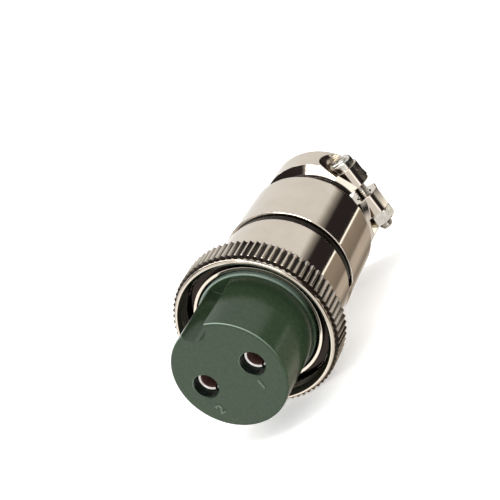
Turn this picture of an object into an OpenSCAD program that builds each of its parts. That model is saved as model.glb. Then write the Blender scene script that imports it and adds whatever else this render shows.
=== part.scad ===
// Straight cable plug of a two-pole circular connector with a knurled coupling nut.
// The plug lies on its side: its axis runs along X with the mating face at the origin,
// facing +X, and the keyway is at the top. Sizes are in millimetres.

/* [Insulator] */
// Diameter of the mating nose
nose_d = 20; // [18:0.1:21]
// Reach of the nose ahead of the shell's front edge
nose_reach = 14.5; // [13:0.5:20]
// Length of the insulator's body inside the shell
body_l = 18.5; // [18:0.5:24]
// Step in radius from the nose to the collar behind it
body_step = 0.35; // [0.2:0.05:0.6]
// Length of collar that shows ahead of the shell
body_lead = 0.5; // [0.2:0.1:1]
// Width of the half-round keyway
key_w = 5; // [3:0.1:6]
// Rounding of the nose's front edge
nose_round = 0.4; // [0.2:0.1:1]
// Chamfer at the mouth of a contact hole
mouth_chamfer = 0.2; // [0.1:0.05:0.4]

/* [Contacts] */
// Distance between the two contacts
contact_pitch = 10.2; // [9:0.1:11]
// Outer diameter of a socket
socket_d = 4.2; // [3.8:0.1:4.6]
// Bore of a socket
socket_bore = 3.2; // [2.8:0.1:3.4]
// Depth of a socket's bore
socket_depth = 11; // [8:0.5:14]
// Distance of a socket's rim below the mating face
socket_recess = 2; // [1:0.1:4]
// Share of a socket's wall that the lead-in cone at its mouth takes up
socket_lead = 0.7; // [0.4:0.05:0.8]
// Width of the slit that lets a socket spring open
slit_w = 0.5; // [0.3:0.05:0.8]
// Length of that slit
slit_l = 9; // [6:0.5:12]
// Diameter of a contact's thick rear half
shank_d = 5.4; // [5:0.1:6]
// Length of insulator ahead of the thick rear half
shank_at = 22; // [20:0.5:26]
// Length of the solder cup behind the insulator
cup_l = 6.5; // [4:0.5:9]
// Bore of the solder cup
cup_bore = 3.8; // [3:0.1:4.2]

/* [Shell] */
// Diameter of the barrel between the nut and the ring slot
front_d = 23; // [22.6:0.1:23.4]
// Thickness of the barrel's wall round the insulator
front_wall = 1.05; // [0.8:0.05:1.4]
// Diameter of the barrel behind the ring slot
rear_d = 23.4; // [23:0.1:23.7]
// Diameter of the barrel at its rear shoulder
tail_d = 22.8; // [22:0.1:23.4]
// Length of the barrel from its front edge to its rear shoulder
barrel_l = 30.9; // [28:0.1:40]
// Step in radius from the barrel down to the thin sleeve at the front edge
sleeve_step = 0.2; // [0.1:0.05:0.5]
// Chamfer inside the sleeve's front edge
sleeve_lead = 0.3; // [0.1:0.05:0.4]
// Length of the thin sleeve
sleeve_l = 0.9; // [0.5:0.1:1.5]
// Thickness of the flange that the nut bears on
flange_t = 0.9; // [0.6:0.1:1.2]
// Overlap of the flange and the nut's lip, in radius
flange_hold = 0.45; // [0.3:0.05:0.6]
// Depth of the shoulder that stops the insulator
stop_step = 0.85; // [0.5:0.05:1.2]
// Thickness of the rear wall
rear_wall = 2; // [1.5:0.1:3]
// Rounding of the rear shoulder
shoulder_round = 1.5; // [0.8:0.1:2]

/* [Retaining ring] */
// Distance of the ring slot from the shell's front edge
slot_at = 15.1; // [14:0.1:16]
// Width of the ring slot
slot_w = 1.8; // [1.5:0.1:2.1]
// Chamfer along the ring slot's two edges
slot_chamfer = 0.15; // [0.05:0.05:0.3]
// Half of the arc that the slot takes up, from the keyway round
slot_half = 130; // [100:1:140]
// Gap in angle between the ring's end and the slot's end
ring_end_gap = 6; // [2:1:15]
// Depth of the ring below the barrel's surface
ring_sink = 0.3; // [0.1:0.05:0.6]
// Depth of the groove that the ring locks in the insulator
ring_bite = 0.85; // [0.5:0.05:1]

/* [Coupling nut] */
// Diameter over the knurl
nut_d = 29; // [28.6:0.1:32]
// Length of the knurled band
knurl_l = 4.6; // [4:0.1:5.5]
// Number of knurl teeth
knurl_n = 78; // [60:1:90]
// Depth of the knurl
knurl_depth = 0.42; // [0.2:0.02:0.5]
// Share of the knurl's pitch that a tooth's crest takes up
knurl_crest = 0.2; // [0.1:0.05:0.4]
// Share of the knurl's pitch that a groove's floor takes up
knurl_floor = 0.2; // [0.1:0.05:0.4]
// Length of the smooth rim ahead of the knurl
rim_l = 0.9; // [0.6:0.1:1.5]
// Step in radius from the knurl down to the smooth rim
rim_step = 0.55; // [0.4:0.05:0.8]
// Thickness of the lip behind the flange
lip_t = 1.2; // [0.8:0.1:1.6]

/* [Cable clamp] */
// Diameter of the largest cable
cable_d = 11; // [8:0.1:11.6]
// Diameter over the clamp halves
clamp_d = 21.2; // [21:0.1:22.8]
// Length of the clamp along the cable
clamp_l = 6.8; // [6.6:0.1:9]
// Gap between the barrel's end and the clamp
neck_l = 3.4; // [2:0.1:6]
// Diameter of the neck
neck_d = 17.6; // [16:0.1:19]
// Gap between the clamp halves when open
clamp_gap = 2.4; // [1.8:0.1:4]
// Distance between the two clamp screws
screw_pitch = 18; // [17.6:0.1:18.2]
// Distance of the screws from the clamp's front face
screw_at = 3.4; // [3.3:0.1:3.5]
// Height of the seats that the screw heads and nuts bear on, from the axis
seat_h = 5; // [4.5:0.1:5.4]
// Diameter of the round lugs that carry the screws
lug_d = 5.2; // [4.6:0.1:5.6]
// Chamfer on the front edge of the clamp halves
clamp_chamfer = 1.4; // [0.8:0.1:1.6]
// Rounding of the rear edge of the clamp halves
clamp_round = 0.7; // [0.3:0.1:1.2]
// Depth of the flat on the underside of the loose clamp half
bar_flat = 0.2; // [0.1:0.05:0.4]

/* [Clamp screws] */
// Thread diameter
screw_d = 2.5; // [2:0.1:2.6]
// Diameter of the pan head
head_d = 4.5; // [4:0.1:4.8]
// Height of the pan head
head_h = 1.8; // [1.4:0.1:2.2]
// Width of each arm of the cross recess
recess_w = 0.7; // [0.5:0.05:0.9]
// Depth of the cross recess
recess_depth = 0.9; // [0.6:0.1:1.1]
// Length of each arm of the cross recess, end to end
recess_l = 3; // [2:0.1:3.4]
// Width of the hex nut across its flats
hex_w = 4.5; // [4:0.1:4.8]
// Thickness of the hex nut
hex_t = 2.2; // [1.6:0.1:2.4]
// Length of thread that stands out of the open clamp's nut
screw_end = 1.4; // [0.5:0.1:2]

/* [Clearances] */
// Radial clearance of a piece seated in its hole
seat_clear = 0.05; // [0.02:0.01:0.1]
// Radial clearance of the insulator in the shell
shell_clear = 0.1; // [0.05:0.05:0.2]
// Clearance beside the retaining ring
ring_clear = 0.25; // [0.1:0.05:0.4]
// Radial clearance of the nut's lip over the widest part of the barrel
lip_clear = 0.35; // [0.3:0.05:0.4]
// Clearance between the nut's lip and the flange along the axis
lip_play = 0.3; // [0.3:0.05:0.4]
// Radial clearance of the flange in the nut's thread
thread_clear = 0.3; // [0.3:0.05:0.5]
// Radial clearance of the cable in the rear hole
cable_clear = 0.1; // [0.05:0.05:0.3]
// Radial clearance of the screws in the moving clamp bar and its nuts
bar_clear = 0.3; // [0.25:0.05:0.4]

/* [Hidden] */
$fn = 96;

// Overrun of a cut past the face that it opens
eps = 1;
// Number of straight steps in a quarter round of a turned profile
arc_n = 8;

nose_r = nose_d / 2;
collar_r = nose_r + body_step;
bore_r = front_d / 2 - front_wall;
body_r = bore_r - shell_clear;
sleeve_r = front_d / 2 - sleeve_step;
cable_r = cable_d / 2 + cable_clear;
clamp_r = clamp_d / 2;
lip_r = max(front_d, rear_d) / 2 + lip_clear;
flange_r = lip_r + flange_hold;
thread_r = flange_r + thread_clear;

// Stations along the axis, as distances behind the mating face
flange_front = nose_reach + sleeve_l;
flange_rear = flange_front + flange_t;
lip_front = flange_rear + lip_play;
nut_rear = lip_front + lip_t;
knurl_front = nut_rear - knurl_l;
nut_front = knurl_front - rim_l;
body_rear = nose_reach + body_l;
slot_front = nose_reach + slot_at;
slot_rear = slot_front + slot_w;
barrel_rear = nose_reach + barrel_l;
clamp_front = barrel_rear + neck_l;
clamp_rear = clamp_front + clamp_l;
screw_x = clamp_front + screw_at;

// Sets a shape drawn along +Z, keyway towards +X, into the lying plug's place
module laid() {
    rotate([0, 90, 0]) rotate([0, 0, 180]) children();
}

// Corner points of a quarter round between two angles, for turned profiles
function round_pts(r, z, f, a0, a1) =
    [for (i = [0:arc_n]) let (a = a0 + (a1 - a0) * i / arc_n) [r + f * cos(a), z + f * sin(a)]];

// Plain round hole between two stations
module hole(d, front, rear) {
    translate([0, 0, -rear]) cylinder(d = d, h = rear - front);
}

// Puts a child at each contact's side: +1 or -1
module at_contact(side) {
    translate([0, side * contact_pitch / 2, 0]) children();
}

// Stands a child on a clamp screw's axis, pointing away from the cable at the top
module at_screw(side) {
    translate([0, side * screw_pitch / 2, -screw_x]) rotate([0, 90, 0]) children();
}

// Moulded green plastic, keyway and contact holes through from the face
module insulator() {
    color("#3f4f42") laid() difference() {
        rotate_extrude() polygon(concat(
            [[0, -body_rear], [body_r, -body_rear], [body_r, -nose_reach], [collar_r, -nose_reach],
             [collar_r, -(nose_reach - body_lead)], [nose_r, -(nose_reach - body_lead)]],
            round_pts(nose_r - nose_round, -nose_round, nose_round, 0, 90), [[0, 0]]));
        translate([nose_r, 0, -(nose_reach - body_lead)]) cylinder(d = key_w, h = nose_reach);
        for (side = [-1, 1]) at_contact(side) {
            hole(socket_d + 2 * seat_clear, -eps, body_rear + eps);
            hole(shank_d + 2 * seat_clear, shank_at, body_rear + eps);
            translate([0, 0, -mouth_chamfer]) cylinder(r1 = socket_d / 2 + seat_clear,
                r2 = socket_d / 2 + seat_clear + 2 * mouth_chamfer, h = 2 * mouth_chamfer);
        }
        rotate_extrude() translate([body_r - ring_bite, -slot_rear])
            square([ring_bite + eps, slot_w]);
    }
}

// Turned socket with a slit springy front, a thick rear half and an open solder cup
module contact(side) {
    cup_rear = body_rear + cup_l;
    wall = (socket_d - socket_bore) / 2;
    lead = socket_lead * wall;
    rim_round = wall - lead;
    color("#c9cbd0") laid() at_contact(side) difference() {
        rotate_extrude() polygon(concat(
            [[0, -cup_rear], [shank_d / 2, -cup_rear], [shank_d / 2, -shank_at],
             [socket_d / 2, -shank_at]],
            round_pts(socket_d / 2 - rim_round, -socket_recess - rim_round, rim_round, 0, 90),
            [[0, -socket_recess]]));
        hole(socket_bore, socket_recess - eps, socket_recess + socket_depth);
        translate([0, 0, -socket_recess - lead / 2])
            cylinder(d1 = socket_bore, d2 = socket_bore + 4 * lead, h = lead);
        hole(cup_bore, body_rear + (shank_d - cup_bore) / 2, cup_rear + eps);
        translate([-socket_d, -slit_w / 2, -socket_recess - slit_l])
            cube([2 * socket_d, slit_w, slit_l + eps]);
        translate([0, -shank_d, -cup_rear - eps]) cube([shank_d, 2 * shank_d, cup_l / 2 + eps]);
    }
}
module contact_1() { contact(-1); }
module contact_2() { contact(1); }

// Outside of one clamp half: a slice of a short turned collar above the open gap, and its lugs
module clamp_half() {
    for (side = [-1, 1]) at_screw(side)
        translate([0, 0, clamp_gap / 2]) cylinder(d = lug_d, h = seat_h - clamp_gap / 2);
    intersection() {
        rotate_extrude() polygon(concat(
            [[0, -clamp_rear]],
            round_pts(clamp_r - clamp_round, -clamp_rear + clamp_round, clamp_round, -90, 0),
            [[clamp_r, -clamp_front - clamp_chamfer], [clamp_r - clamp_chamfer, -clamp_front],
             [0, -clamp_front]]));
        translate([clamp_gap / 2, -clamp_d, -clamp_rear - eps])
            cube([clamp_d, 2 * clamp_d, clamp_l + 2 * eps]);
    }
}

// Screw holes of one clamp half and the sunk seats over them, clear of head and nut
module clamp_cuts(hole_clear) {
    seat_d = max(head_d, hex_w / cos(30)) + 2 * bar_clear;
    for (side = [-1, 1]) at_screw(side) {
        cylinder(d = screw_d + 2 * hole_clear, h = clamp_d);
        translate([0, 0, seat_h]) cylinder(d = seat_d, h = clamp_d);
    }
}

// Turned and milled barrel: sleeve, flange, ring slot, rear wall, neck and upper clamp half
module barrel_shell() {
    tail_r = tail_d / 2;
    color("#cdc5b8") laid() difference() {
        union() {
            rotate_extrude() polygon(concat(
                [[0, -barrel_rear]],
                round_pts(tail_r - shoulder_round, -barrel_rear + shoulder_round, shoulder_round, -90, 0),
                [[rear_d / 2, -slot_rear + ring_clear], [front_d / 2, -slot_front - ring_clear],
                 [front_d / 2, -flange_rear],
                 [flange_r, -flange_rear], [flange_r, -flange_front], [sleeve_r, -flange_front],
                 [sleeve_r, -nose_reach], [0, -nose_reach]]));
            hole(neck_d, barrel_rear - eps, clamp_front - bar_clear);
            intersection() {
                hole(neck_d, barrel_rear - eps, clamp_front + eps);
                translate([clamp_gap / 2, -neck_d, -clamp_front - eps])
                    cube([neck_d, 2 * neck_d, neck_l + 3 * eps]);
            }
            clamp_half();
        }
        hole(2 * bore_r, nose_reach - eps, body_rear);
        translate([0, 0, -nose_reach - sleeve_lead])
            cylinder(r1 = bore_r, r2 = bore_r + 2 * sleeve_lead, h = 2 * sleeve_lead);
        hole(2 * (bore_r - stop_step), body_rear - eps, barrel_rear - rear_wall);
        hole(2 * cable_r, barrel_rear - rear_wall - eps, clamp_rear + eps);
        rotate([0, 0, -slot_half]) rotate_extrude(angle = 2 * slot_half) polygon(
            [[bore_r - eps, -slot_rear], [rear_d / 2 - slot_chamfer, -slot_rear],
             [rear_d / 2 + eps, -slot_rear - slot_chamfer - eps],
             [front_d / 2 + eps, -slot_front + slot_chamfer + eps],
             [front_d / 2 - slot_chamfer, -slot_front], [bore_r - eps, -slot_front]]);
        clamp_cuts(seat_clear);
    }
}

// Straight-knurled ring: thread bore in front, lip behind the flange
module coupling_nut() {
    knurl_r = nut_d / 2;
    root_r = knurl_r - knurl_depth;
    rim_r = knurl_r - rim_step;
    rim_round = rim_l / 2;
    pitch = 360 / knurl_n;
    flank = (1 - knurl_crest - knurl_floor) / 2;
    start = knurl_floor / 2;
    tooth = [[start, root_r], [start + flank, knurl_r],
        [start + flank + knurl_crest, knurl_r], [1 - start, root_r]];
    color("#c8bfb0") laid() difference() {
        union() {
            translate([0, 0, -nut_rear]) linear_extrude(knurl_l) polygon(
                [for (i = [0:knurl_n - 1], c = tooth)
                    [c[1] * cos((i + c[0]) * pitch), c[1] * sin((i + c[0]) * pitch)]]);
            rotate_extrude() polygon(concat(
                [[lip_r, -nut_rear], [rim_r, -nut_rear]],
                round_pts(rim_r - rim_round, -nut_front - rim_round, rim_round, 0, 90),
                [[lip_r, -nut_front]]));
        }
        hole(2 * lip_r, nut_front - eps, nut_rear + eps);
        hole(2 * thread_r, nut_front - eps, lip_front);
    }
}

// Open spring ring of flat section, in the barrel's slot and the insulator's groove
module retaining_ring() {
    inner_r = body_r - ring_bite + shell_clear;
    half = slot_half - ring_end_gap;
    color("#8f8a80") laid() rotate([0, 0, -half]) rotate_extrude(angle = 2 * half)
        translate([inner_r, -slot_rear + ring_clear])
            square([front_d / 2 - ring_sink - inner_r, slot_w - 2 * ring_clear]);
}

// Loose lower half of the cable clamp
module clamp_bar() {
    color("#c4bbad") laid() rotate([0, 0, 180]) difference() {
        clamp_half();
        hole(2 * cable_r, clamp_front - eps, clamp_rear + eps);
        clamp_cuts(bar_clear);
        translate([clamp_r - bar_flat, -clamp_d, -clamp_rear - eps])
            cube([clamp_d, 2 * clamp_d, clamp_l + 2 * eps]);
    }
}

// Pan-head machine screw with a cross recess, down through both clamp halves
module clamp_screw(side) {
    dome = head_h / 2;
    shank_l = 2 * seat_h + hex_t + screw_end;
    color("#d2cdc4") laid() at_screw(side) difference() {
        union() {
            translate([0, 0, seat_h]) rotate_extrude() polygon(concat(
                [[0, 0], [head_d / 2, 0]],
                round_pts(head_d / 2 - dome, head_h - dome, dome, 0, 90), [[0, head_h]]));
            translate([0, 0, seat_h - shank_l]) cylinder(d = screw_d, h = shank_l);
        }
        for (turn = [0, 90]) rotate([0, 0, turn])
            translate([-recess_l / 2, -recess_w / 2, seat_h + head_h - recess_depth])
                cube([recess_l, recess_w, head_h]);
    }
}
module clamp_screw_1() { clamp_screw(-1); }
module clamp_screw_2() { clamp_screw(1); }

// Hex nut under the clamp bar
module clamp_nut(side) {
    corner_d = hex_w / cos(30);
    color("#bdb7ac") laid() at_screw(side) translate([0, 0, -seat_h - hex_t]) difference() {
        cylinder(d = corner_d, h = hex_t, $fn = 6);
        translate([0, 0, -eps]) cylinder(d = screw_d + 2 * bar_clear, h = hex_t + 2 * eps);
    }
}
module clamp_nut_1() { clamp_nut(-1); }
module clamp_nut_2() { clamp_nut(1); }

insulator();
contact_1();
contact_2();
barrel_shell();
coupling_nut();
retaining_ring();
clamp_bar();
clamp_screw_1();
clamp_screw_2();
clamp_nut_1();
clamp_nut_2();
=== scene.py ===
import math

import bmesh
import bpy
from mathutils import Matrix, Vector


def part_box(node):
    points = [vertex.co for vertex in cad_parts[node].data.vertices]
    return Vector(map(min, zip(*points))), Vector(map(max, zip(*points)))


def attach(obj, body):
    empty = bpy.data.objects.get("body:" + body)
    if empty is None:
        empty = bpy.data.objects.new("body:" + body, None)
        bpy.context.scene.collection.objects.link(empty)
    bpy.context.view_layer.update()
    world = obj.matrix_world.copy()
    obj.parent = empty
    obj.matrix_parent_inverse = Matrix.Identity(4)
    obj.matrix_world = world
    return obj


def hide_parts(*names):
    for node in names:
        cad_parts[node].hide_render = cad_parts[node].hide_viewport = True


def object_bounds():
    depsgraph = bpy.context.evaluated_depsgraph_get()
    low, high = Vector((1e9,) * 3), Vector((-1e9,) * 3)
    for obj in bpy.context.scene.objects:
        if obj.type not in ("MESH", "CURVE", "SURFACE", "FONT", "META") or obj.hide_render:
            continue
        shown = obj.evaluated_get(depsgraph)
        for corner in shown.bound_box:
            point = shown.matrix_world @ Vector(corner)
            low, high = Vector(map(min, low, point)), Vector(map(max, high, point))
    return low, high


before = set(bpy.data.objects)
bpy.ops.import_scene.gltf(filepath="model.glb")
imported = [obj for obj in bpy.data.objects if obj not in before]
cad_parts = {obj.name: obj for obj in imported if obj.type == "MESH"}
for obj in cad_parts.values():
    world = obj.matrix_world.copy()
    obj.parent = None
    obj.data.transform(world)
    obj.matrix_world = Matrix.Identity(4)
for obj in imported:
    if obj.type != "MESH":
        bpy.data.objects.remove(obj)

cad_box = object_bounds()
MM = 0.001


# Contacts
# Two turned brass sockets with a plated silver skin, slit lengthwise so that they grip a pin.
# They are pressed into the insulator from behind and show as bright rims inside its holes.
def linear(hex_colour):
    """An sRGB hex colour as linear red, green, blue and alpha."""
    channels = [int(hex_colour[i:i + 2], 16) / 255 for i in (1, 3, 5)]
    return [c / 12.92 if c <= 0.04045 else ((c + 0.055) / 1.055) ** 2.4 for c in channels] + [1.0]


def add(owner, kind, settings=None, sockets=None, links=None):
    """A new shader node with its settings, its socket values and its links from other nodes."""
    node = owner.node_tree.nodes.new("ShaderNode" + kind)
    for name, value in (settings or {}).items():
        setattr(node, name, value)
    for name, value in (sockets or {}).items():
        node.inputs[name].default_value = value
    for name, source in (links or {}).items():
        owner.node_tree.links.new(source, node.inputs[name])
    return node


def surface(name, **sockets):
    """A material and its surface shader with these socket values."""
    material = bpy.data.materials.new(name)
    material.use_nodes = True
    shader = material.node_tree.nodes["Principled BSDF"]
    for socket, value in sockets.items():
        shader.inputs[socket].default_value = value
    return material, shader


def millimetres(material):
    """The piece's own coordinates counted in millimetres."""
    place = add(material, "TexCoord")
    return add(material, "Mapping", sockets={"Scale": [1 / MM] * 3},
               links={"Vector": place.outputs["Object"]}).outputs["Vector"]


CLOUD_DETAIL = 3.0
MARKS_DETAIL = 2.0


def cloud(material, grain):
    """A soft random pattern with spots of this size in millimetres."""
    return add(material, "TexNoise", sockets={"Scale": 1 / grain, "Detail": CLOUD_DETAIL},
               links={"Vector": millimetres(material)}).outputs["Fac"]


def turning_marks(material, axis, spacing):
    """The rings that a lathe tool leaves round an axis, this many millimetres apart.

    Real ones are finer than a pixel, so they are drawn coarser, as far apart as they need to show.
    """
    place = add(material, "SeparateXYZ", links={"Vector": millimetres(material)})
    return add(material, "TexNoise", settings={"noise_dimensions": "1D"},
               sockets={"Scale": 1 / spacing, "Detail": MARKS_DETAIL},
               links={"W": place.outputs[axis]}).outputs["Fac"]


def graded(owner, value, low, high, stops):
    """Colour that follows a value, from low to high, through stops of (level, linear colour)."""
    share = add(owner, "MapRange", sockets={"From Min": low, "From Max": high}, links={"Value": value})
    node = add(owner, "ValToRGB", links={"Fac": share.outputs["Result"]})
    elements = node.color_ramp.elements
    elements.remove(elements[-1])
    elements[0].color = stops[0][1]
    for level, colour in stops:
        elements.new((level - low) / (high - low)).color = colour
    return node.outputs["Color"]


# A pattern keeps near the middle of its range, so colour and gloss drift between these shares of it.
TONE_DRIFT = (0.35, 0.65)
GLOSS_DRIFT = (0.3, 0.7)
EDGE_SAMPLES = 8


def mottle(material, shader, pattern, dark, light):
    """Colour that drifts between two tones with a pattern."""
    tone = graded(material, pattern, 0.0, 1.0, list(zip(TONE_DRIFT, (linear(dark), linear(light)))))
    material.node_tree.links.new(tone, shader.inputs["Base Color"])
    return tone


def stain(material, shader, tone, mask, colour):
    """Another colour over the tone where the mask is white."""
    mixed = add(material, "MixRGB", sockets={"Color2": linear(colour)},
                links={"Fac": mask, "Color1": tone})
    material.node_tree.links.new(mixed.outputs["Color"], shader.inputs["Base Color"])
    return mixed.outputs["Color"]


def uneven_gloss(material, shader, pattern, smooth, rough):
    """Roughness that drifts between two values with a pattern."""
    start, stop = GLOSS_DRIFT
    gloss = add(material, "MapRange", links={"Value": pattern},
                sockets={"From Min": start, "From Max": stop, "To Min": smooth, "To Max": rough})
    material.node_tree.links.new(gloss.outputs["Result"], shader.inputs["Roughness"])


def relief(material, shader, pattern, depth, edge):
    """Fine relief of this depth with a pattern, on edges broken by this radius, both in millimetres."""
    broken = add(material, "Bevel", settings={"samples": EDGE_SAMPLES}, sockets={"Radius": edge * MM})
    bump = add(material, "Bump", sockets={"Strength": 1.0, "Distance": depth * MM},
               links={"Height": pattern, "Normal": broken.outputs["Normal"]})
    material.node_tree.links.new(bump.outputs["Normal"], shader.inputs["Normal"])


def finish_node(node_name, material):
    """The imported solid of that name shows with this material."""
    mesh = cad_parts[node_name].data
    mesh.materials.clear()
    mesh.materials.append(material)


# Silver plate over turned brass: white and bright, dulled in spots by tarnish, with faint lathe rings.
silver_plate, silver = surface("turned_silver_plate", Metallic=1.0)
silver_tone = mottle(silver_plate, silver, cloud(silver_plate, grain=1.2), dark="#d3cfc6", light="#efede8")
uneven_gloss(silver_plate, silver, cloud(silver_plate, grain=0.5), smooth=0.14, rough=0.26)
relief(silver_plate, silver, turning_marks(silver_plate, "X", spacing=0.2), depth=0.003, edge=0.05)

# The plating is thin down in the bores, so the dull copper-brown metal under it shows there.
# These sizes are in millimetres, as are those of all stains. FADE is the width of a stain's edge.
CONTACT_Y = 5.1
BORE_R = 1.62
FADE = 0.05
BLACK = (0, 0, 0, 1)
WHITE = (1, 1, 1, 1)


def within(material, reach, inside, outside):
    """The inside colour up to this distance in millimetres from a contact's axis, else the outside one."""
    place = add(material, "SeparateXYZ", links={"Vector": millimetres(material)})
    aside = add(material, "Math", settings={"operation": "ABSOLUTE"}, links={"Value": place.outputs["Y"]})
    spot = add(material, "CombineXYZ", links={"Y": aside.outputs["Value"], "Z": place.outputs["Z"]})
    away = add(material, "VectorMath", settings={"operation": "DISTANCE"}, sockets={1: (0, CONTACT_Y, 0)},
               links={0: spot.outputs["Vector"]})
    stops = [(reach, inside), (reach + FADE, outside)]
    return graded(material, away.outputs["Value"], 0.0, 2 * reach, stops)


stain(silver_plate, silver, silver_tone, within(silver_plate, BORE_R, WHITE, BLACK), "#76564f")
plated = within(silver_plate, BORE_R, BLACK, WHITE)
silver_plate.node_tree.links.new(plated, silver.inputs["Metallic"])
for name in ("contact_1", "contact_2"):
    finish_node(name, silver_plate)


# Insulator
# One moulding of dark green phenolic with a half-round keyway and two contact holes.
# It slides into the barrel from the front and the retaining ring locks it there.

# Phenolic is a dull, slightly speckled plastic: the mould leaves a satin skin with a fine orange peel.
phenolic, moulding = surface("moulded_phenolic", IOR=1.4)
resin_tone = mottle(phenolic, moulding, cloud(phenolic, grain=0.7), dark="#293a28", light="#2f3f2a")
uneven_gloss(phenolic, moulding, cloud(phenolic, grain=0.9), smooth=0.18, rough=0.24)
relief(phenolic, moulding, cloud(phenolic, grain=0.5), depth=0.001, edge=0.25)

# The walls of the contact holes are painted nearly black: painted shade down in the holes.
HOLE_R = 2.2
hole_shaded_tone = stain(phenolic, moulding, resin_tone, within(phenolic, HOLE_R, WHITE, BLACK), "#161d18")

# The filler in the resin shows as sparse pale flecks, where a fine pattern comes near its top.
FLECK = 0.22
FLECK_FAINT = 0.68
FLECK_CLEAR = 0.76
flecks = graded(phenolic, cloud(phenolic, FLECK), 0.0, 1.0, [(FLECK_FAINT, BLACK), (FLECK_CLEAR, WHITE)])
flecked_tone = stain(phenolic, moulding, hole_shaded_tone, flecks, "#5f7563")

# Front edges and the collar at the nose's root are painted paler, a painted highlight, most of all on the
# upper side, where the keyway is. An edge is told by how far it turns to the front, from 0 on the sides to
# 1 on the face. The painted highlight grows from one height to another.
HIGHLIGHT_BEGINS = 0.3
HIGHLIGHT_STRONG = 0.5
HIGHLIGHT_WEAKENS = 0.65
HIGHLIGHT_ENDS = 0.85
HIGHLIGHT_LOW = -2.0
HIGHLIGHT_HIGH = 10.0
COLLAR_R = 10.1


def off_axis(material, place):
    """The distance in millimetres from the plug's axis."""
    aside = add(material, "CombineXYZ", links={"Y": place.outputs["Y"], "Z": place.outputs["Z"]})
    return add(material, "VectorMath", settings={"operation": "LENGTH"},
               links={0: aside.outputs["Vector"]}).outputs["Value"]


skin = add(phenolic, "NewGeometry")
facing = add(phenolic, "SeparateXYZ", links={"Vector": skin.outputs["Normal"]})
lit_front_edges = graded(phenolic, facing.outputs["X"], 0.0, 1.0, [
    (HIGHLIGHT_BEGINS, BLACK), (HIGHLIGHT_STRONG, WHITE), (HIGHLIGHT_WEAKENS, WHITE), (HIGHLIGHT_ENDS, BLACK)])
resin_place = add(phenolic, "SeparateXYZ", links={"Vector": millimetres(phenolic)})
collar = graded(phenolic, off_axis(phenolic, resin_place), 0.0, 2 * COLLAR_R, [
    (COLLAR_R - FADE, BLACK), (COLLAR_R, WHITE)])
lit_upper_side = graded(phenolic, resin_place.outputs["Z"], HIGHLIGHT_LOW, HIGHLIGHT_HIGH, [
    (HIGHLIGHT_LOW, BLACK), (HIGHLIGHT_HIGH, WHITE)])
lit_edges_or_collar = add(phenolic, "MixRGB", settings={"blend_type": "LIGHTEN"}, sockets={"Fac": 1.0},
                      links={"Color1": lit_front_edges, "Color2": collar})
painted_highlight = add(phenolic, "MixRGB", settings={"blend_type": "MULTIPLY"}, sockets={"Fac": 1.0},
             links={"Color1": lit_edges_or_collar.outputs["Color"], "Color2": lit_upper_side})
stain(phenolic, moulding, flecked_tone, painted_highlight.outputs["Color"], "#9db0a2")
finish_node("insulator", phenolic)

# The contact numbers stand a little proud of the mating face, below and outside their holes.
# Their resin is painted paler, a painted highlight for the light on their raised tops, and is smoother
# there.
highlit_phenolic, highlit_resin = surface("phenolic_with_painted_highlight", IOR=1.55)
mottle(highlit_phenolic, highlit_resin, cloud(highlit_phenolic, grain=0.3), dark="#364831", light="#4f6252")
uneven_gloss(highlit_phenolic, highlit_resin, cloud(highlit_phenolic, grain=0.4), smooth=0.18, rough=0.28)
FACE_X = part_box("insulator")[1].x
NUMERAL_H = 1.7 * MM
NUMERAL_SHARE = 0.7
NUMERAL_RISE = 0.15 * MM
NUMERAL_EDGE = 0.06 * MM
NUMERAL_BOLD = 0.05 * MM
NUMERAL_SPOTS = (("1", 4.1 * MM, -3.8 * MM), ("2", -5.6 * MM, -4.7 * MM))
STAND = Matrix(((0, 0, 1), (1, 0, 0), (0, 1, 0))).to_4x4()
for numeral, across, up in NUMERAL_SPOTS:
    glyph = bpy.data.curves.new("glyph_" + numeral, "FONT")
    glyph.body = numeral
    glyph.size = NUMERAL_H / NUMERAL_SHARE
    glyph.extrude = NUMERAL_RISE - NUMERAL_EDGE
    glyph.bevel_depth = NUMERAL_EDGE
    glyph.offset = NUMERAL_BOLD
    glyph.align_x = "CENTER"
    glyph.align_y = "CENTER"
    drawn = bpy.data.objects.new("glyph_" + numeral, glyph)
    mesh = bpy.data.meshes.new_from_object(drawn)
    mesh.name = "numeral_" + numeral
    bpy.data.objects.remove(drawn)
    mesh.transform(Matrix.Translation((FACE_X, across, up)) @ STAND)
    mesh.materials.clear()
    mesh.materials.append(highlit_phenolic)
    piece = bpy.data.objects.new("numeral_" + numeral, mesh)
    bpy.context.scene.collection.objects.link(piece)
    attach(piece, "plug")


# Barrel shell
# Brass, turned and milled, with a bright nickel plate. The sleeve, the flange, the slot for the
# retaining ring, the neck and the upper half of the cable clamp are all one piece.

# Nickel over turned brass: a warm mirror that is a little hazy, with lathe rings just under the plate.
nickel_plate, nickel = surface("bright_nickel_on_turned_brass", Metallic=1.0)
nickel_tone = mottle(nickel_plate, nickel, cloud(nickel_plate, grain=4.0), dark="#d1c6b7", light="#d8cdbe")
uneven_gloss(nickel_plate, nickel, cloud(nickel_plate, grain=1.5), smooth=0.05, rough=0.09)
relief(nickel_plate, nickel, turning_marks(nickel_plate, "X", spacing=0.3), depth=0.0015, edge=0.2)
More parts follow.
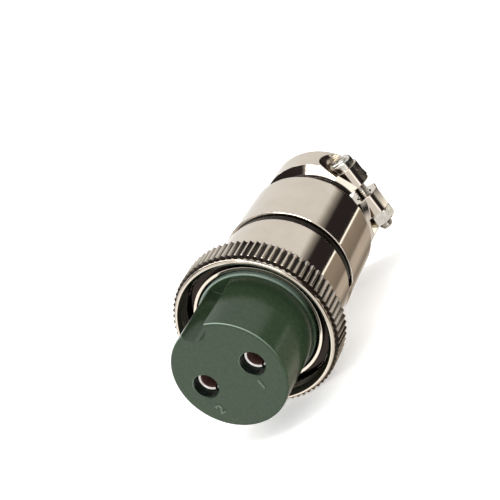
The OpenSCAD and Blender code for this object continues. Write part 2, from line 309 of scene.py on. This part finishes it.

# Painted shade darkens the plate where little light reaches: round the neck, inside the nut on the flange
# and the rear of the sleeve, and in the narrow gap between the sleeve's mouth and the insulator.
PAINTED_SHADE = "#2b2521"
SHELL_L = 60.0
NECK_REAR = -48.75
NECK_FRONT = -45.45
FLANGE_REAR = -16.4
FLANGE_FRONT = -14.75
MOUTH_R = 10.72
MOUTH_DEPTH = -15.5
shell_place = add(nickel_plate, "SeparateXYZ", links={"Vector": millimetres(nickel_plate)})
round_shell = graded(nickel_plate, shell_place.outputs["X"], -SHELL_L, 0.0, [
    (NECK_REAR - FADE, BLACK), (NECK_REAR, WHITE), (NECK_FRONT, WHITE), (NECK_FRONT + FADE, BLACK),
    (FLANGE_REAR - FADE, BLACK), (FLANGE_REAR, WHITE),
    (FLANGE_FRONT, WHITE), (FLANGE_FRONT + FADE, BLACK)])
in_bore = graded(nickel_plate, off_axis(nickel_plate, shell_place), 0.0, 2 * MOUTH_R, [
    (MOUTH_R, WHITE), (MOUTH_R + FADE, BLACK)])
at_front = graded(nickel_plate, shell_place.outputs["X"], -SHELL_L, 0.0, [
    (MOUTH_DEPTH - FADE, BLACK), (MOUTH_DEPTH, WHITE)])
in_mouth = add(nickel_plate, "MixRGB", settings={"blend_type": "MULTIPLY"}, sockets={"Fac": 1.0},
               links={"Color1": in_bore, "Color2": at_front})
painted_shade_zones = add(nickel_plate, "MixRGB", settings={"blend_type": "LIGHTEN"}, sockets={"Fac": 1.0},
             links={"Color1": round_shell, "Color2": in_mouth.outputs["Color"]})
stain(nickel_plate, nickel, nickel_tone, painted_shade_zones.outputs["Color"], PAINTED_SHADE)
finish_node("barrel_shell", nickel_plate)


# Retaining ring
# An open ring of flat spring steel, bent to shape and blackened. It snaps through the barrel's slot
# into the insulator's groove and locks the two together.

# Black oxide on spring steel, oily, with a fine drawn grain along the strip. Its tone is darkened to
# nearly black as painted shade, for the ring sits deep in the barrel's slot.
slot_shaded_steel, steel = surface("spring_steel_with_painted_slot_shade", Metallic=1.0)
mottle(slot_shaded_steel, steel, cloud(slot_shaded_steel, grain=1.0), dark="#211e1b", light="#302b27")
uneven_gloss(slot_shaded_steel, steel, cloud(slot_shaded_steel, grain=0.6), smooth=0.25, rough=0.38)
relief(slot_shaded_steel, steel, turning_marks(slot_shaded_steel, "X", spacing=0.12), depth=0.002, edge=0.1)
finish_node("retaining_ring", slot_shaded_steel)


# Coupling nut
# Turned brass ring with a straight knurl, nickel-plated. It turns freely on the barrel, held by the
# lip behind the flange, and draws the plug into its socket by the thread in its bore.
NUT_LOW, NUT_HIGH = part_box("coupling_nut")
NUT_FRONT = NUT_HIGH.x
NUT_REAR = NUT_LOW.x
KNURL_R = (NUT_HIGH.y - NUT_LOW.y) / 2
KNURL_DEPTH = 0.42 * MM
KNURL_TEETH = 78
KNURL_CREST = 0.2
KNURL_FLOOR = 0.2
KNURL_BEVEL = 0.1 * MM
KNURL_SEAM = 0.05 * MM
STEPS_PER_TOOTH = 10
KNURL_FRONT = NUT_REAR + 4.6 * MM
ROOT_R = KNURL_R - KNURL_DEPTH
RIM_R = KNURL_R - 0.55 * MM
RIM_ROUND = 0.45 * MM
LIP_R = 12.05 * MM
LIP_FRONT = NUT_REAR + 1.2 * MM
COUPLING_R = 12.8 * MM
COUPLING_PITCH = 1.0 * MM
COUPLING_DEPTH = 0.5 * MM
COUPLING_CREST = 0.15
COUPLING_FADE = 0.6 * MM
THREAD_SHADE = 0.7
ROWS_PER_PITCH = 10
MOUTH_BREAK = 0.55 * MM
EDGE_BREAK = 0.1 * MM
ARC_STEPS = 6
RIGHT_ANGLE = math.radians(90)
CREASE = math.radians(35)
SAME = 1e-7
NEAR = 0.01 * MM


def arc(along, radius, fillet):
    """Points of a rounded front corner in an outline of (along, radius) points."""
    turns = [RIGHT_ANGLE * i / ARC_STEPS for i in range(ARC_STEPS + 1)]
    return [(along + fillet * math.sin(t), radius + fillet * math.cos(t)) for t in turns]


def turned(outline, axis, out, centre, steps, rows, closed=True):
    """A turned body: an outline of (along, radius) points, spun about an axis through the centre.

    rows maps the number of a side of the outline to how many extra points it gets.
    """
    bm = bmesh.new()
    corners = [bm.verts.new(centre + axis * along + out * radius) for along, radius in outline]
    pairs = list(zip(corners, corners[1:] + corners[:1]))
    sides = [bm.edges.new(pair) for pair in (pairs if closed else pairs[:-1])]
    for side, cuts in rows.items():
        bmesh.ops.subdivide_edges(bm, edges=[sides[side]], cuts=cuts)
    bmesh.ops.spin(bm, geom=bm.verts[:] + bm.edges[:], cent=centre, axis=axis, angle=math.tau, steps=steps,
                   use_merge=True)
    bmesh.ops.remove_doubles(bm, verts=bm.verts, dist=SAME)
    bmesh.ops.recalc_face_normals(bm, faces=bm.faces)
    return bm


def tooth(share, crest, floor):
    """Height from 0 to 1 at this share of the pitch of straight-sided teeth, with a groove at 0."""
    off = abs(share % 1 - 0.5) * 2
    return min(1.0, max(0.0, (1 - floor - off) / (1 - floor - crest)))


def piece_from(bm, name, material, body, node):
    """The finished piece of a bmesh: smooth but for its creases, riding a body in place of a node."""
    mesh = bpy.data.meshes.new(name)
    bm.to_mesh(mesh)
    bm.free()
    mesh.shade_smooth()
    mesh.set_sharp_from_angle(angle=CREASE)
    mesh.materials.append(material)
    piece = bpy.data.objects.new(name, mesh)
    bpy.context.scene.collection.objects.link(piece)
    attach(piece, body)
    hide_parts(node)
    return piece


AXIS_X = Vector((1, 0, 0))
AXIS_Z = Vector((0, 0, 1))
lip_outline = [(LIP_FRONT, COUPLING_R), (LIP_FRONT, LIP_R), (NUT_REAR + EDGE_BREAK, LIP_R)]
nut_outline = [
    (NUT_REAR, LIP_R + EDGE_BREAK), (NUT_REAR, ROOT_R), (NUT_REAR + KNURL_BEVEL, ROOT_R),
    (KNURL_FRONT - KNURL_BEVEL, ROOT_R), (KNURL_FRONT, ROOT_R),
    (KNURL_FRONT, RIM_R), (KNURL_FRONT + KNURL_SEAM, RIM_R),
    *arc(NUT_FRONT - RIM_ROUND, RIM_R - RIM_ROUND, RIM_ROUND),
    (NUT_FRONT, COUPLING_R + MOUTH_BREAK + EDGE_BREAK), (NUT_FRONT, COUPLING_R + MOUTH_BREAK),
    (NUT_FRONT - MOUTH_BREAK, COUPLING_R), *lip_outline]
BORE_SIDE = len(nut_outline) - len(lip_outline) - 1
BORE_ROWS = int((NUT_FRONT - MOUTH_BREAK - LIP_FRONT) / COUPLING_PITCH * ROWS_PER_PITCH)
bm = turned(nut_outline, AXIS_X, AXIS_Z, Vector(), KNURL_TEETH * STEPS_PER_TOOTH, {BORE_SIDE: BORE_ROWS})

# The teeth and the thread are drawn out of the plain ring. Each point also notes how much painted shade it
# gets.
groove = bm.verts.layers.float.new("groove")
for v in bm.verts:
    radius = math.hypot(v.co.y, v.co.z)
    turn = math.atan2(v.co.y, v.co.z) / math.tau
    new_radius = radius
    if abs(radius - ROOT_R) < NEAR:
        height = tooth(turn * KNURL_TEETH, KNURL_CREST, KNURL_FLOOR)
        at_end = min(v.co.x - NUT_REAR, KNURL_FRONT - v.co.x) < NEAR
        new_radius = radius + (KNURL_DEPTH - KNURL_BEVEL if at_end else KNURL_DEPTH) * height
        v[groove] = 1 - height
    if abs(v.co.x - KNURL_FRONT) < NEAR:
        v[groove] = 1
    if abs(radius - COUPLING_R) < NEAR and LIP_FRONT + NEAR < v.co.x:
        from_end = min(NUT_FRONT - MOUTH_BREAK - v.co.x, v.co.x - LIP_FRONT)
        depth = tooth(v.co.x / COUPLING_PITCH + turn, COUPLING_CREST, COUPLING_CREST)
        depth *= min(1, from_end / COUPLING_FADE)
        new_radius = radius + COUPLING_DEPTH * depth
        v[groove] = THREAD_SHADE + (1 - THREAD_SHADE) * depth
    if abs(radius - COUPLING_R - MOUTH_BREAK) < NEAR:
        v[groove] = THREAD_SHADE
    v.co.yz = v.co.yz * (new_radius / radius)

# The same nickel, with painted shade in the knurl's grooves, on the teeth's front ends and all through the
# threaded bore, darkest at the thread's roots.
# The rolled teeth are satin, and the turned rim ahead of them is brighter.
SATIN = (0.22, 0.22, 0.22, 1)
BRIGHT = (0.13, 0.13, 0.13, 1)
knurled_nickel, knurled = surface("bright_nickel_on_knurled_brass", Metallic=1.0)
knurl_tone = mottle(knurled_nickel, knurled, cloud(knurled_nickel, grain=2.0),
                    dark="#cfc4b4", light="#d8cdbe")
groove_shade = add(knurled_nickel, "Attribute", settings={"attribute_name": "groove"})
stain(knurled_nickel, knurled, knurl_tone, groove_shade.outputs["Fac"], PAINTED_SHADE)
nut_place = add(knurled_nickel, "SeparateXYZ", links={"Vector": millimetres(knurled_nickel)})
satin_or_bright = graded(knurled_nickel, nut_place.outputs["X"], NUT_REAR / MM, 0.0, [
    (KNURL_FRONT / MM - FADE, SATIN), (KNURL_FRONT / MM, BRIGHT)])
knurled_nickel.node_tree.links.new(satin_or_bright, knurled.inputs["Roughness"])
relief(knurled_nickel, knurled, turning_marks(knurled_nickel, "X", spacing=0.25), depth=0.002, edge=0.05)
piece_from(bm, "coupling_nut_knurled", knurled_nickel, "nut", "coupling_nut")


# Clamp bar
# The loose lower half of the cable clamp, cut from the same turned collar as the upper half and
# plated with it. The two screws draw it up against the cable.
finish_node("clamp_bar", nickel_plate)


# Clamp screws
# Two nickel-plated steel machine screws with pan heads and a cross recess, threaded all the way up.
# They pass down through both clamp halves.
SCREW_R = 1.25 * MM
SCREW_PITCH = 0.45 * MM
SCREW_DEPTH = 0.24 * MM
SCREW_CREST = 0.15
SCREW_POINT = 0.35 * MM
SCREW_STEPS = 48
THREAD_SIDE = 2
CORE_R = SCREW_R - SCREW_DEPTH
HEAD_R = 2.25 * MM
HEAD_H = 1.8 * MM
HEAD_DOME = 0.9 * MM
RECESS_W = 0.75 * MM
RECESS_L = 3.0 * MM
RECESS_DEPTH = 0.95 * MM
RECESS_TAPER = 0.7
CROSS_CELLS = 3
CELL = 1.0

# Plated steel screws are cooler and brighter than the plated brass, with turned heads.
screw_plate, screw_shader = surface("nickel_on_steel_screws", Metallic=1.0)
mottle(screw_plate, screw_shader, cloud(screw_plate, grain=0.9), dark="#cfc9be", light="#e2ddd4")
uneven_gloss(screw_plate, screw_shader, cloud(screw_plate, grain=0.4), smooth=0.12, rough=0.22)
relief(screw_plate, screw_shader, turning_marks(screw_plate, "Z", spacing=0.15), depth=0.0015, edge=0.1)

for node in ("clamp_screw_1", "clamp_screw_2"):
    low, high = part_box(node)
    centre = Vector(((low.x + high.x) / 2, (low.y + high.y) / 2, 0))
    tip = low.z
    top = high.z
    seat = top - HEAD_H
    screw_outline = [
        (tip, 0), (tip, CORE_R - SCREW_POINT / 2), (tip + SCREW_POINT, CORE_R), (seat, CORE_R),
        (seat, HEAD_R), *arc(top - HEAD_DOME, HEAD_R - HEAD_DOME, HEAD_DOME), (top, 0)]
    thread_rows = int((seat - tip - SCREW_POINT) / SCREW_PITCH * ROWS_PER_PITCH)
    bm = turned(screw_outline, AXIS_Z, AXIS_X, centre, SCREW_STEPS, {THREAD_SIDE: thread_rows},
                closed=False)
    for v in bm.verts:
        arm = v.co.xy - centre.xy
        if abs(arm.length - CORE_R) < NEAR and v.co.z < seat - NEAR:
            turn = math.atan2(arm.y, arm.x) / math.tau
            height = tooth(v.co.z / SCREW_PITCH - turn, SCREW_CREST, SCREW_CREST)
            height *= min(1, (seat - v.co.z) / SCREW_PITCH, (v.co.z - tip) / SCREW_PITCH)
            v.co.xy = centre.xy + arm * (1 + SCREW_DEPTH * height / CORE_R)
    screw = piece_from(bm, node + "_threaded", screw_plate, "plug", node)

    # The cross recess: a plus drawn on a grid of three by three, sunk with a little taper.
    bm = bmesh.new()
    bmesh.ops.create_grid(bm, x_segments=CROSS_CELLS, y_segments=CROSS_CELLS, size=CROSS_CELLS * CELL / 2)
    corner_faces = []
    for f in bm.faces:
        middle = f.calc_center_median()
        if min(abs(middle.x), abs(middle.y)) > CELL / 2:
            corner_faces.append(f)
    bmesh.ops.delete(bm, geom=corner_faces, context="FACES")
    for v in bm.verts:
        v.co.x = math.copysign(RECESS_L if abs(v.co.x) > CELL else RECESS_W, v.co.x) / 2
        v.co.y = math.copysign(RECESS_L if abs(v.co.y) > CELL else RECESS_W, v.co.y) / 2
    sunk = bmesh.ops.extrude_face_region(bm, geom=bm.faces[:])["geom"]
    floor_verts = [g for g in sunk if isinstance(g, bmesh.types.BMVert)]
    bmesh.ops.translate(bm, verts=floor_verts, vec=(0, 0, -2 * RECESS_DEPTH))
    bmesh.ops.scale(bm, verts=floor_verts, vec=(RECESS_TAPER, RECESS_TAPER, 1))
    bmesh.ops.translate(bm, verts=bm.verts, vec=centre + AXIS_Z * (top + RECESS_DEPTH))
    bmesh.ops.recalc_face_normals(bm, faces=bm.faces)
    cutter_mesh = bpy.data.meshes.new("cross")
    bm.to_mesh(cutter_mesh)
    bm.free()
    cutter = bpy.data.objects.new("cross", cutter_mesh)
    bpy.context.scene.collection.objects.link(cutter)
    cut = screw.modifiers.new("cross", "BOOLEAN")
    cut.object = cutter
    cut.operation = "DIFFERENCE"
    cut.solver = "EXACT"
    cut_screw = screw.evaluated_get(bpy.context.evaluated_depsgraph_get())
    cut_mesh = bpy.data.meshes.new_from_object(cut_screw)
    screw.modifiers.clear()
    screw.data = cut_mesh
    bpy.data.objects.remove(cutter)
    cut_mesh.shade_smooth()
    cut_mesh.set_sharp_from_angle(angle=CREASE)


# Clamp nuts
# Hex nuts of plated steel under the clamp bar. Their corners are turned off by a chamfer at both
# faces, and the thread fits the screws.
HEX_W = 4.5 * MM
HEX_TURN = math.radians(60)
HEX_STEPS = 72
HEX_FACE_R = 0.48 * HEX_W
HEX_CHAMFER = 0.45 * MM
CHAMFER_SLOPE = math.tan(math.radians(60))
CHAMFER_ROWS = 5
LOWER_CHAMFER_SIDE = 2
UPPER_CHAMFER_SIDE = 4
NUT_BORE_SIDE = 8
NUT_BORE_R = 1.28 * MM
NUT_BORE_BREAK = 0.2 * MM
for node in ("clamp_nut_1", "clamp_nut_2"):
    low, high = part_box(node)
    centre = Vector(((low.x + high.x) / 2, (low.y + high.y) / 2, 0))
    corner_r = (high.x - low.x) / 2
    hex_outline = [
        (low.z, NUT_BORE_R + NUT_BORE_BREAK), (low.z, HEX_FACE_R), (low.z, corner_r),
        (low.z + HEX_CHAMFER, corner_r), (high.z - HEX_CHAMFER, corner_r), (high.z, corner_r),
        (high.z, HEX_FACE_R), (high.z, NUT_BORE_R + NUT_BORE_BREAK),
        (high.z - NUT_BORE_BREAK, NUT_BORE_R), (low.z + NUT_BORE_BREAK, NUT_BORE_R)]
    bore_rows = int((high.z - low.z - 2 * NUT_BORE_BREAK) / SCREW_PITCH * ROWS_PER_PITCH)
    hex_rows = {
        LOWER_CHAMFER_SIDE: CHAMFER_ROWS, UPPER_CHAMFER_SIDE: CHAMFER_ROWS, NUT_BORE_SIDE: bore_rows}
    bm = turned(hex_outline, AXIS_Z, AXIS_X, centre, HEX_STEPS, hex_rows)
    for v in bm.verts:
        arm = v.co.xy - centre.xy
        turn = math.atan2(arm.y, arm.x)
        radius = arm.length
        if radius > HEX_FACE_R + NEAR:
            flat_r = HEX_W / 2 / math.cos(turn % HEX_TURN - HEX_TURN / 2)
            from_face = min(v.co.z - low.z, high.z - v.co.z)
            radius = min(flat_r, HEX_FACE_R + from_face * CHAMFER_SLOPE)
        elif abs(radius - NUT_BORE_R) < NEAR:
            radius += SCREW_DEPTH * tooth(v.co.z / SCREW_PITCH - turn / math.tau, SCREW_CREST, SCREW_CREST)
        v.co.xy = centre.xy + arm * (radius / arm.length)
    bmesh.ops.remove_doubles(bm, verts=bm.verts, dist=NEAR)
    piece_from(bm, node + "_chamfered", screw_plate, "clamp", node)


# Floor
# A plain sheet of white paper on a light table, so that shadows stay faint, turned up far away so that
# no edge shows. It stays out of reflections, where the studio's own table stands for it.
FLOOR_R = 2.0
FLOOR_STEPS = 96
FLOOR_RISE = 0.6
PAPER_GLOW = 0.4
floor_mesh = bpy.data.meshes.new("floor")
bm = bmesh.new()
bmesh.ops.create_circle(bm, cap_ends=True, radius=FLOOR_R, segments=FLOOR_STEPS)
rim = [e for e in bm.edges if e.is_boundary]
lifted = bmesh.ops.extrude_edge_only(bm, edges=rim)["geom"]
lifted_verts = [g for g in lifted if isinstance(g, bmesh.types.BMVert)]
bmesh.ops.translate(bm, vec=(0, 0, FLOOR_RISE), verts=lifted_verts)
bmesh.ops.translate(bm, vec=(0, 0, cad_box[0].z), verts=bm.verts)
bm.to_mesh(floor_mesh)
bm.free()
floor = bpy.data.objects.new("floor", floor_mesh)
bpy.context.scene.collection.objects.link(floor)

# Uncoated paper is matt and even, with hardly a tone in it, and glows a little with the light below.
paper, paper_shader = surface("white_paper")
mottle(paper, paper_shader, cloud(paper, grain=30.0), dark="#f6f5f3", light="#f9f8f6")
uneven_gloss(paper, paper_shader, cloud(paper, grain=8.0), smooth=0.85, rough=0.95)
paper_shader.inputs["Emission Color"].default_value = linear("#ffffff")
paper_shader.inputs["Emission Strength"].default_value = PAPER_GLOW
floor_mesh.materials.append(paper)
floor.visible_glossy = False


# Light
# A soft studio of plain zones, told by direction: X points ahead of the plug, Y to its right and Z up,
# each from -1 to 1. A white tent with a bright foot stands on the left and closes overhead.
# On the right it ends above a dark gap. Behind, the gap has a bright slit and a brown table under it.
TENT = (0.95, 0.95, 0.95, 1)
TENT_FOOT = (1.2, 1.2, 1.2, 1)
HAZE = (0.35, 0.33, 0.31, 1)
SLIT = (2.0, 2.0, 1.9, 1)
DARK = (0.03, 0.025, 0.027, 1)
TABLE = (0.38, 0.32, 0.26, 1)
TABLE_DARK = (0.26, 0.22, 0.18, 1)
TABLE_LIGHT = (0.62, 0.55, 0.47, 1)
LEFT_BY_HEIGHT = [(-0.5, TABLE), (-0.36, TENT_FOOT), (-0.2, TENT_FOOT), (0.1, TENT)]
GAP_BY_HEIGHT = [(-0.3, SLIT), (-0.288, SLIT), (-0.275, DARK), (0.05, DARK), (0.15, HAZE), (0.25, TENT)]
TABLE_ACROSS = [(-0.4, TABLE_LIGHT), (-0.2, TABLE_DARK), (0.0, TABLE_LIGHT), (0.16, TABLE_LIGHT),
                (0.23, TABLE_DARK), (0.45, TABLE)]
TABLE_BY_HEIGHT = [(-0.315, WHITE), (-0.302, BLACK)]
RIGHT_AHEAD_BY_HEIGHT = [(-0.8, TENT), (-0.65, DARK), (0.35, DARK), (0.55, TENT)]
REAR_ENDS = -0.3
AHEAD_STARTS = 0.0
LEFT_ENDS = -0.5
RIGHT_STARTS = -0.35
world = bpy.data.worlds.new("studio")
bpy.context.scene.world = world
world.use_nodes = True
direction = add(world, "TexCoord").outputs["Generated"]
axes = add(world, "SeparateXYZ", links={"Vector": direction})
ahead = axes.outputs["X"]
rightward = axes.outputs["Y"]
upward = axes.outputs["Z"]


def painted(along, stops):
    """Tones of the studio that follow one part of the direction."""
    return graded(world, along, -1.0, 1.0, stops)


def parted(along, start, stop, before, beyond):
    """One zone of the studio up to start and another from stop on, along one part of the direction."""
    share = add(world, "MapRange", sockets={"From Min": start, "From Max": stop}, links={"Value": along})
    return add(world, "MixRGB", links={
        "Fac": share.outputs["Result"], "Color1": before, "Color2": beyond}).outputs["Color"]


right_behind = add(world, "MixRGB", links={
    "Fac": painted(upward, TABLE_BY_HEIGHT), "Color1": painted(upward, GAP_BY_HEIGHT),
    "Color2": painted(rightward, TABLE_ACROSS)}).outputs["Color"]
right_side = parted(ahead, REAR_ENDS, AHEAD_STARTS, right_behind, painted(upward, RIGHT_AHEAD_BY_HEIGHT))
tent = parted(rightward, LEFT_ENDS, RIGHT_STARTS, painted(upward, LEFT_BY_HEIGHT), right_side)

# The ceiling is greyer than the tent. A black flag hangs overhead on the left, so that front edges turn
# dark on that side. A bright window stands ahead like a frame round a dimmer middle, and a round panel
# low on the left lights the flats that face the front.
CEILING = (0.45, 0.45, 0.45, 1)
CEILING_BY_HEIGHT = [(0.6, BLACK), (0.75, WHITE)]
FLAG_AIM = (0.24, -0.52, 0.82)
FLAG_EDGE = [(0.81, BLACK), (0.88, WHITE)]
WINDOW = (1.6, 1.6, 1.6, 1)
WINDOW_STARTS = 0.42
WINDOW_FULL = 0.5
WINDOW_AHEAD = [(0.6, WINDOW), (0.66, TENT)]
PANEL_AIM = (0.77, -0.57, -0.3)
PANEL_EDGE = [(0.955, BLACK), (0.975, WHITE)]


def hung(aim, edge, tone, backdrop):
    """A round screen of one tone before a backdrop.

    Its edge goes by the cosine of the angle to its aim.
    """
    toward = add(world, "VectorMath", settings={"operation": "DOT_PRODUCT"},
                 sockets={1: Vector(aim).normalized()}, links={0: direction})
    return add(world, "MixRGB", sockets={"Color2": tone}, links={
        "Fac": painted(toward.outputs["Value"], edge), "Color1": backdrop}).outputs["Color"]


roofed = add(world, "MixRGB", sockets={"Color2": CEILING}, links={
    "Fac": painted(upward, CEILING_BY_HEIGHT), "Color1": tent}).outputs["Color"]
flagged = hung(FLAG_AIM, FLAG_EDGE, DARK, roofed)
fronted = parted(ahead, WINDOW_STARTS, WINDOW_FULL, flagged, painted(ahead, WINDOW_AHEAD))
studio = hung(PANEL_AIM, PANEL_EDGE, WINDOW, fronted)
world.node_tree.links.new(studio, world.node_tree.nodes["Background"].inputs["Color"])
bpy.context.scene.view_settings.view_transform = "Standard"

# Two long soft boxes give rims, chamfers and edges their lights: one ahead, from overhead down to the
# right, and one overhead, a little behind. Each has its aim, its long direction, two sides and a power.
LAMP_AWAY = 0.6
SOFT_BOXES = (
    ("soft_box_ahead", (0.53, 0.38, 0.74), (0.12, 0.68, -0.45), 0.1, 0.55, 1.4),
    ("soft_box_above", (-0.29, -0.22, 0.93), (0.1, 0.63, 0.2), 0.14, 0.6, 1.3))
for name, aim, lengthwise, width, length, power in SOFT_BOXES:
    outward = Vector(aim).normalized()
    sideways = Vector(lengthwise).cross(outward).normalized()
    stance = Matrix((sideways, outward.cross(sideways), outward)).transposed()
    soft_box = bpy.data.lights.new(name, "AREA")
    soft_box.shape = "RECTANGLE"
    soft_box.size = width
    soft_box.size_y = length
    soft_box.energy = power
    lamp = bpy.data.objects.new(name, soft_box)
    bpy.context.scene.collection.objects.link(lamp)
    lamp.matrix_world = Matrix.Translation(outward * LAMP_AWAY) @ stance.to_4x4()


# Camera
# A long lens from ahead of the mating face, right of the axis and a little above it, rolled so that
# the plug points down to the left of the picture.
PICTURE = 500
FOCAL_PX = 1800
SENSOR = 36
NEAREST = 0.01
AZIMUTH = math.radians(35.14)
ELEVATION = math.radians(15.02)
ROLL = math.radians(-38.53)
FACE_DEPTH = 0.28711
FACE_ACROSS = 228.67
FACE_DOWN = 375.59
sight = (Matrix.Rotation(RIGHT_ANGLE + AZIMUTH, 3, "Z") @ Matrix.Rotation(RIGHT_ANGLE - ELEVATION, 3, "X")
         @ Matrix.Rotation(ROLL, 3, "Z"))
face = Vector((FACE_ACROSS - PICTURE / 2, PICTURE / 2 - FACE_DOWN, -FOCAL_PX)) * (FACE_DEPTH / FOCAL_PX)
camera = bpy.data.objects.new("camera", bpy.data.cameras.new("camera"))
bpy.context.scene.collection.objects.link(camera)
camera.data.sensor_width = SENSOR
camera.data.lens = FOCAL_PX * SENSOR / PICTURE
camera.data.clip_start = NEAREST
camera.matrix_world = Matrix.Translation(-(sight @ face)) @ sight.to_4x4()
bpy.context.scene.camera = camera
